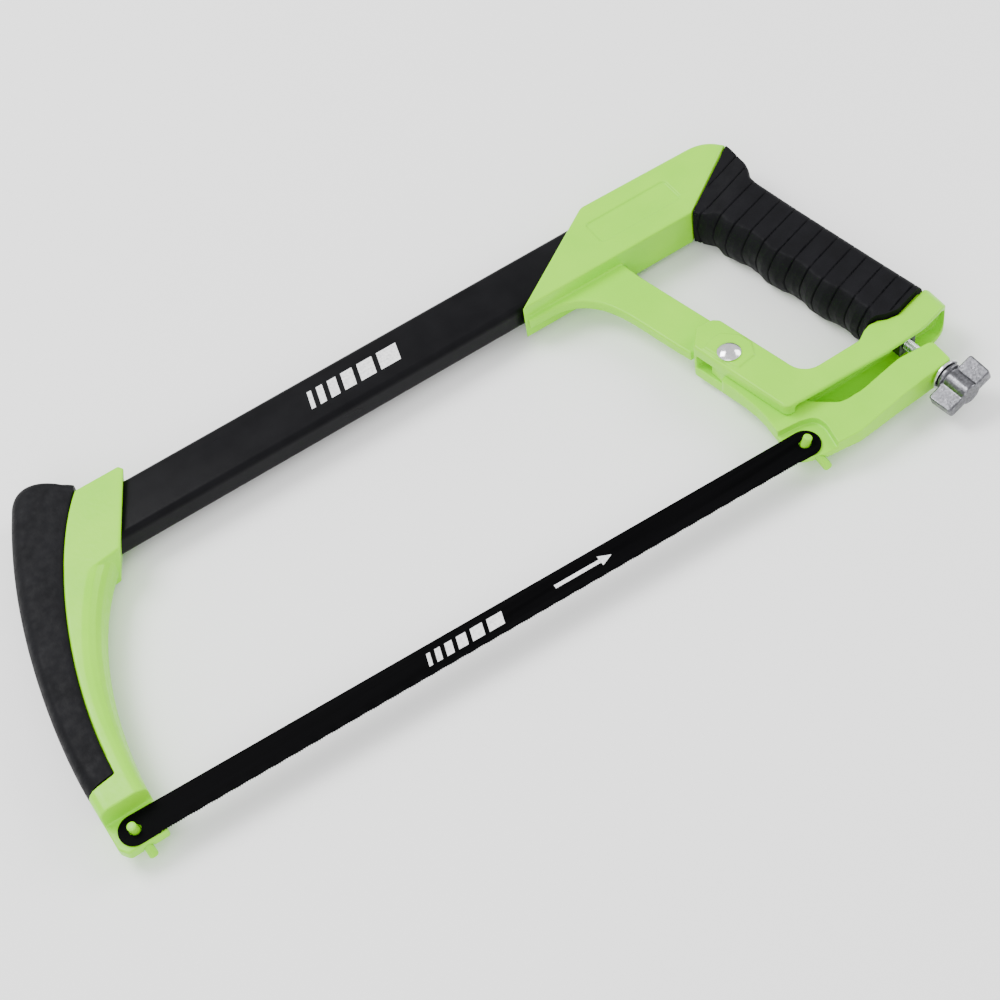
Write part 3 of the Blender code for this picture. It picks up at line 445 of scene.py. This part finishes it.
def along_grip(line, count):
    """A line through (x, y) points as evenly spaced points, with its corners eased by a running mean."""
    line = np.array(line, float)
    run = np.concatenate([[0], np.cumsum(np.linalg.norm(np.diff(line, axis=0), axis=1))])
    far = np.linspace(0, run[-1], count)
    path = np.stack([np.interp(far, run, line[:, 0]), np.interp(far, run, line[:, 1])], axis=-1)
    width = max(3, count // 40) | 1
    padded = np.concatenate([np.repeat(path[:1], width // 2, 0), path, np.repeat(path[-1:], width // 2, 0)])
    kernel = np.ones(width) / width
    soft = np.stack([np.convolve(padded[:, k], kernel, "valid") for k in (0, 1)], axis=-1)
    soft[0], soft[-1] = path[0], path[-1]
    return soft


def grip_section(width, edge, back, half):
    """Around the grip, starting at the middle of the finger side, for columns of rows: distance from the finger
    side, and height. The finger side is 60 degrees of an ellipse up to a soft arris, then comes the flat face,
    and the palm side is a superellipse; the far half mirrors the near half."""
    side = np.radians(np.linspace(0, 60, 22))[None]
    finger = edge * (1 - np.cos(side)) / 0.5
    finger_height = (half - 0.4) * np.sin(side) / math.sin(math.radians(60))
    ease = np.array([0.35, 0.8, 1.5, 2.6])[None]
    ease_height = half - np.array([0.25, 0.12, 0.03, 0.0])[None]
    face = edge + 2.6 + (width - back - edge - 2.6) * np.linspace(0.04, 1, 42)[None]
    turn = np.radians(np.linspace(84, 0, 20))[None]
    palm = width - back + back * np.cos(turn) ** 0.75
    palm_height = half * np.sin(turn) ** 0.75
    across = np.concatenate([finger, edge + ease, face, palm], axis=1)
    height = np.concatenate([finger_height, ease_height + 0 * edge, 0 * face + half, palm_height], axis=1)
    across = np.concatenate([across, across[:, -2:0:-1]], axis=1)
    return across, np.concatenate([height, -height[:, -2:0:-1]], axis=1)


def grip_rings(rows=520):
    """The grip is a patch between four lines, the collar's slanted face, the palm's line, the finger's waved
    line and the D bar. Narrow grooves run round it every 8 mm, with a shallow swell between them."""
    finger = along_grip([(335.3, 113.7), (336.6, 110.4), (338.3, 105.5), (353.8, 20.2), (350.6, 16.8)], rows)
    far = (finger - (353.8, 20.0)) @ -GRIP_AXIS
    finger[:, 0] -= 0.95 * np.cos(TURN * far / 26.0) * eased(far, 2, 12) * (1 - eased(far, 78, 90))
    palm = along_grip([(371.8, 138.0), (371.9, 134.5), (371.0, 127.5), (371.2, 123.0), (370.2, 119.0),
                       (368.3, 115.6), (368.4, 111.0), (371.9, 89.0), (375.9, 66.0), (379.9, 43.0),
                       (384.2, 19.4)], rows)
    u = np.linspace(0, 1, rows)[:, None]
    half = FACE + 0.1 + (GRIP_HALF - FACE - 0.1) * eased(u, 0.0, 0.17)
    width = np.linalg.norm(palm - finger, axis=1)[:, None]
    edge = 0.8 + 3.8 * eased(u, 0.02, 0.13)
    back = 1.4 + 4.6 * eased(u, 0.06, 0.22)
    across, z = grip_section(width, edge, back, half)
    t = (across / width)[..., None]
    w = u[:, :, None]
    top = finger[0] + (palm[0] - finger[0]) * t
    line = np.array([(350.6, 16.8), (353.8, 17.9), (357.8, 17.5), (361.3, 15.7), (366.8, 14.7), (384.2, 19.4)])
    floor_x = line[0, 0] + (line[-1, 0] - line[0, 0]) * t[..., 0]
    floor = np.stack([floor_x, np.interp(floor_x, line[:, 0], line[:, 1])], axis=-1)
    sides = (1 - t) * finger[:, None] + t * palm[:, None]
    corners = (1 - w) * ((1 - t) * finger[0] + t * palm[0]) + w * ((1 - t) * finger[-1] + t * palm[-1])
    spot = sides + (1 - w) * top + w * floor - corners
    station = (spot - GRIP_MIDDLE) @ GRIP_AXIS
    side = (spot - GRIP_MIDDLE) @ GRIP_ACROSS
    slant = station + np.where(side > -10.0, 0.13 * (side + 10.0), (GRIP_HALF - np.abs(z)) * 0.14)
    phase = (slant + 3.0) / GROOVE_PITCH
    nearest = np.abs(phase - np.round(phase)) * GROOVE_PITCH
    ends = eased(u, 0.004, 0.012) * (1 - eased(u, 0.985, 0.995))
    groove = np.exp(-((nearest / 0.36) ** 4)) * ends
    on_finger = 1 - eased(side, -12.0, -9.5)
    swell = 0.35 * on_finger * (1 - np.minimum(1, 2 * nearest / GROOVE_PITCH) ** 2) * ends
    run = np.roll(across, -1, 1) - np.roll(across, 1, 1)
    rise = np.roll(z, -1, 1) - np.roll(z, 1, 1)
    length = np.hypot(run, rise)
    depth = 0.75 * groove + swell
    spot = spot + (depth * rise / length)[..., None] * GRIP_ACROSS
    z = z - depth * run / length
    rings = np.concatenate([spot, z[..., None]], axis=-1)
    caps = [rings[end] * (1, 1, share) for end, share in ((0, 0.0), (0, 0.5), (-1, 0.5), (-1, 0.0))]
    return np.concatenate([caps[:2], rings, caps[2:]])


grip = grip_rings()
finished(shell("grip_rubber", grip.reshape(-1, 3), ring_faces(*grip.shape[:2]), "frame", 50.0),
         GRIP_RUBBER, "handle_grip")


# Rivet, pins, screw and washer

def rivet_rings():
    """Shank between two shallow spherical heads with a small flat rim."""
    sphere = 7.9
    half = math.degrees(math.asin(4.98 / sphere))
    seat, top = 10.6, 12.58
    dome = arc((0, top - sphere), sphere, 90 - half, 90, 14)
    rim = np.array([(3.0, seat), (4.85, seat), (4.98, seat + 0.12)])
    upper = np.concatenate([rim, dome])
    lower = upper[::-1] * (1, -1)
    return turned(np.concatenate([lower, upper]), 72)


rivet = rivet_rings() + (RIVET_SPOT - FRONT_PIN) / MM
finished(stacked("rivet", rivet, "frame", 40.0), STEEL, "pivot_rivet")


def pin_rings(foot, direction, sunk, height):
    """A 3.8 mm pin with a worn, rounded tip, sunk in its hole."""
    radius = PIN_RADIUS
    profile = [(radius * 0.6, -sunk), (radius, -sunk)]
    tip = arc((radius - 0.8, height - 0.8), 0.8, 0, 80, 8)
    crown = np.array([(radius * 0.35, height + 0.04), (0.02, height + 0.06)])
    return aimed(turned(np.concatenate([profile, tip, crown]), 40), foot, direction)


REAR_PIN = np.array((BLADE_LENGTH * math.cos(BLADE_TILT), -BLADE_LENGTH * math.sin(BLADE_TILT), 0))
LEAN = {"front": math.radians(-8), "rear": math.radians(20)}
FLUSH = math.sin(math.radians(45))
for end, body, foot in (("front", "frame", np.zeros(3)), ("rear", "lever", REAR_PIN)):
    sunk, height = (2.6, 4.7) if end == "front" else (1.8, 4.7)
    direction = (math.sin(LEAN[end]), 0, math.cos(LEAN[end]))
    finished(stacked(end + "_blade_pin", pin_rings(foot, direction, sunk, height), body),
             GREEN, end + "_pin")
finished(stacked("front_far_pin", pin_rings((1.0, -4.6, -3.4), (0.05, -FLUSH, -FLUSH), 2.0, 6.2), "frame"), GREEN, "front_flush_pin")
finished(stacked("rear_far_pin", pin_rings(REAR_PIN + (2.2, -6.4, -2.9), (0.25, -FLUSH, -FLUSH), 1.4, 6.2), "lever"), GREEN, "rear_flush_pin")


def screw_rings():
    """A screw whose radius rises and falls once for each turn: a V thread, with a plain tip."""
    start, end = SCREW_LONG
    height = np.linspace(start, end, 760)[:, None]
    angle = np.linspace(0, TURN, 40, endpoint=False)[None, :]
    phase = (height / THREAD_PITCH - angle / TURN) % 1.0
    ridge = 1 - np.abs(2 * phase - 1)
    ends = eased(height, start, start + 0.9) * (1 - eased(height, end - 1.6, end - 0.9))
    radius = THREAD_ROOT + 0.40 * np.minimum(ridge * 1.25, 1.0) * ends
    radius = radius - 0.6 * (1 - eased(height, start, start + 0.5)) - 0.45 * eased(height, end - 0.6, end) ** 2
    height = np.broadcast_to(height, radius.shape)
    return np.stack([radius * np.cos(angle), radius * np.sin(angle), height], axis=-1)


screw_foot = (SCREW_SPOT - FRONT_PIN) / MM
finished(stacked("thread", aimed(screw_rings(), screw_foot, SCREW_AXIS), "knob", 180.0),
         STEEL, "tension_screw")


def washer_rings():
    """A flat ring with softened rims: its section carried round."""
    low, high, soft = 0.7, 1.9, 0.25
    section = np.concatenate([
        arc((7.0 - soft, low + soft), soft, -90, 0, 4), arc((7.0 - soft, high - soft), soft, 0, 90, 4),
        arc((2.75 + soft, high - soft), soft, 90, 180, 4), arc((2.75 + soft, low + soft), soft, 180, 270, 4)])
    return turned(section, 72)


washer = aimed(washer_rings(), screw_foot, SCREW_AXIS)
finished(shell("washer", washer.reshape(-1, 3), ring_faces(*washer.shape[:2], along=True), "washer"),
         STEEL, "screw_washer")


# Blade

def blade_tilted(points):
    """Turns points from along the blade to the saw's frame."""
    c, s = math.cos(BLADE_TILT), math.sin(BLADE_TILT)
    x, y, z = np.moveaxis(points, -1, 0)
    return np.stack([x * c + y * s, -x * s + y * c, z], axis=-1)


TEETH_PER_INCH = 24
TOOTH = 25.4 / TEETH_PER_INCH
ROWS = np.array([-5.95, -5.3, -4.2, -2.0, 0.0, 2.0, 4.5, 6.5])


def blade_middle():
    """Columns across the blade, three for each tooth: the lowest point of each column follows the saw-tooth,
    and the toothed edge weaves from side to side in slow waves."""
    start, end = BLADE_HALF, BLADE_LENGTH - BLADE_HALF
    teeth = int((end - start) / TOOTH) - 2
    first = start + ((end - start) - teeth * TOOTH) / 2
    tooth = np.arange(teeth)[:, None]
    x = (first + TOOTH * (tooth + np.array([0.0, 0.38, 0.97]))).ravel()
    low = np.tile(np.array([-6.48, -5.98, -5.9]), teeth)
    x = np.concatenate([[start], x, [end]])
    low = np.concatenate([[-6.3], low, [-6.3]])
    y = np.column_stack([low, np.repeat(ROWS[None], len(x), 0)])
    return x, y


def blade_shell():
    """Two faces of the blade and the walls between: the toothed middle, and at each end a ring of points that
    runs from the round hole out to the blade's round end."""
    x, y = blade_middle()
    count = y.shape[1]
    reach = np.clip((-4.2 - y) / 1.8, 0, 1)
    swing = 0.16 * np.sin(TURN * x / 8.4)
    weave = swing[:, None] * reach * eased(x, 12, 20)[:, None] * eased(-x, -288, -280)[:, None]
    grid_x = np.repeat(x[:, None], count, 1)
    low, high = BLADE_FACES
    points, faces = [], []

    def patch(near, far, around):
        base = sum(len(p) for p in points)
        rows, columns = near.shape[:2]
        points.append(near.reshape(-1, 3))
        points.append(far.reshape(-1, 3))
        quads = np.array(ring_faces(rows, columns, around)) + base
        faces.extend(quads.tolist())
        faces.extend((quads[:, ::-1] + rows * columns).tolist())
        return base, rows * columns

    def wall(base, offset, line):
        line = np.array(line) + base
        faces.extend(np.column_stack([line[:-1], line[1:], line[1:] + offset, line[:-1] + offset]).tolist())

    near = np.stack([grid_x, y, high + weave], axis=-1)
    far = np.stack([grid_x, y, low + weave], axis=-1)
    base, offset = patch(near, far, False)
    wall(base, offset, np.arange(len(x)) * count)
    wall(base, offset, np.arange(len(x)) * count + count - 1)
    for end in (0, 1):
        middle = BLADE_LENGTH * end
        sense = 1 if end else -1
        column = y[-1] if end else y[0]
        joint = np.column_stack([np.full(count, middle - sense * BLADE_HALF), column])
        round_end = arc((0, 0), BLADE_HALF, 90, -90, 28) * (sense, 1) + (middle, 0)
        outline = np.concatenate([joint, round_end, [(middle - sense * 3.2, -6.4)]])
        angle = np.arctan2(outline[:, 1], outline[:, 0] - middle)
        hole = np.column_stack([middle + 2.5 * np.cos(angle), 2.5 * np.sin(angle)])
        share = np.array([0, 0.5, 1])[:, None, None]
        flat = hole[None] * (1 - share) + outline[None] * share
        near = np.concatenate([flat, np.full((*flat.shape[:2], 1), high)], axis=-1)
        far = np.concatenate([flat, np.full((*flat.shape[:2], 1), low)], axis=-1)
        base, offset = patch(near, far, True)
        ring = len(outline)
        wall(base, offset, np.append(np.arange(ring), 0))
        wall(base, offset, np.append(np.arange(count - 1, ring), 0) + 2 * ring)
    return blade_tilted(np.concatenate(points)), faces


blade_points, blade_faces = blade_shell()
finished(shell("saw_blade", blade_points, blade_faces, "blade", 25.0), BLADE_BLACK, "blade")


# Plain printed marks

def slanted_bars(left, bottom, height, widths, gap, lean):
    """Parallelograms side by side: each a width, all with one height and one lean."""
    bars = []
    for width in widths:
        bars.append(np.array([(left, bottom), (left + width, bottom), (left + width + lean, bottom + height),
                              (left + lean, bottom + height)]))
        left += width + gap
    return bars


def arrow(left, middle, length, half):
    """A plain arrow along X."""
    neck = length - 2.2 * half
    return np.array([(left, middle - half * 0.35), (left + neck, middle - half * 0.35), (left + neck, middle - half),
                     (left + length, middle), (left + neck, middle + half), (left + neck, middle + half * 0.35),
                     (left, middle + half * 0.35)])


def printed(name, shapes, level, body, place=None):
    """Ink of 0.03 mm on a flat face: every outline extruded by that much."""
    points, faces = [], []
    for shape in shapes:
        base, count = len(points), len(shape)
        for z in (level, level + 0.03):
            points.extend(np.column_stack([shape, np.full(count, z)]))
        faces.append([base + k for k in range(count)])
        faces.append([base + count + k for k in range(count)])
        faces.extend([base + k, base + (k + 1) % count, base + count + (k + 1) % count, base + count + k]
                     for k in range(count))
    points = np.array(points)
    return finished(shell(name, place(points) if place else points, faces, body), PRINT)


tube_bars = slanted_bars(149.0, TUBE_MIDDLE - 4.6, 9.2, (2.0, 3.0, 4.2, 5.6, 7.4, 9.6), 2.4, 2.6)
printed("tube_marks", tube_bars, TUBE_THICK / 2 + 0.02, "frame")
blade_bars = slanted_bars(124.0, -2.7, 5.6, (1.6, 2.4, 3.2, 4.2, 5.4, 6.8), 2.0, 1.6)
printed("blade_marks", blade_bars + [arrow(182.0, 0.2, 26.0, 2.4)], 0.97, "blade", blade_tilted)

for nib in nibs():
    finished(nib, NOSE_RUBBER)
for node in ("front_collar_screw_1", "front_collar_screw_2", "rear_collar_screw_1", "rear_collar_screw_2"):
    finished(frame["nodes"][node], DARK)


# Floor, light and camera

def floor_material():
    """Pale matte board with the faintest unevenness."""
    made, tree, shader, place = material("floor_board", (0.93, 0.93, 0.93), 0.8)
    shade = spread(tree, noise(tree, place, 3.0, 3.0), 0, 1)
    tree.links.new(blend_colours(tree, shade, (0.92, 0.92, 0.92), (0.95, 0.95, 0.95)),
                   shader.inputs["Base Color"])
    return made


floor_mesh = bpy.data.meshes.new("floor")
floor_mesh.from_pydata([(-6, -6, -0.0002), (6, -6, -0.0002), (6, 6, -0.0002), (-6, 6, -0.0002)], [], [(0, 1, 2, 3)])
floor = bpy.data.objects.new("floor", floor_mesh)
bpy.context.scene.collection.objects.link(floor)
floor_mesh.materials.append(floor_material())


def lamp(name, spot, target, size, power):
    """A square soft light at a spot, aimed at a target."""
    data = bpy.data.lights.new(name, "AREA")
    data.size = size
    data.energy = power
    lamp_object = bpy.data.objects.new(name, data)
    lamp_object.location = spot
    lamp_object.rotation_euler = (Vector(target) - Vector(spot)).to_track_quat("-Z", "Y").to_euler()
    bpy.context.scene.collection.objects.link(lamp_object)


lamp("key", (-0.55, 0.9, 1.5), (0, 0, 0), 0.9, 34)
lamp("fill", (-0.9, -1.0, 1.1), (0, 0, 0), 1.2, 16)
lamp("side", (1.3, -0.2, 0.9), (0, 0, 0), 0.8, 12)

world = bpy.data.worlds.new("studio")
bpy.context.scene.world = world
world.use_nodes = True
world.node_tree.nodes["Background"].inputs["Color"].default_value = (1, 1, 1, 1)
world.node_tree.nodes["Background"].inputs["Strength"].default_value = 1.1

camera_data = bpy.data.cameras.new("camera")
camera_data.sensor_width = 36
camera_data.lens = 72
camera = bpy.data.objects.new("camera", camera_data)
bpy.context.scene.collection.objects.link(camera)
STAND = Vector(FRONT_PIN + (-0.00357, -0.39391, 0.64315))
AIM = Vector(FRONT_PIN + (0.19158, 0.05134, -0.0126))
ROLL = math.radians(-11.49)
look = (AIM - STAND).to_track_quat("-Z", "Y").to_matrix().to_4x4()
camera.matrix_world = Matrix.Translation(STAND) @ look @ Matrix.Rotation(ROLL, 4, "Z")
bpy.context.scene.camera = camera
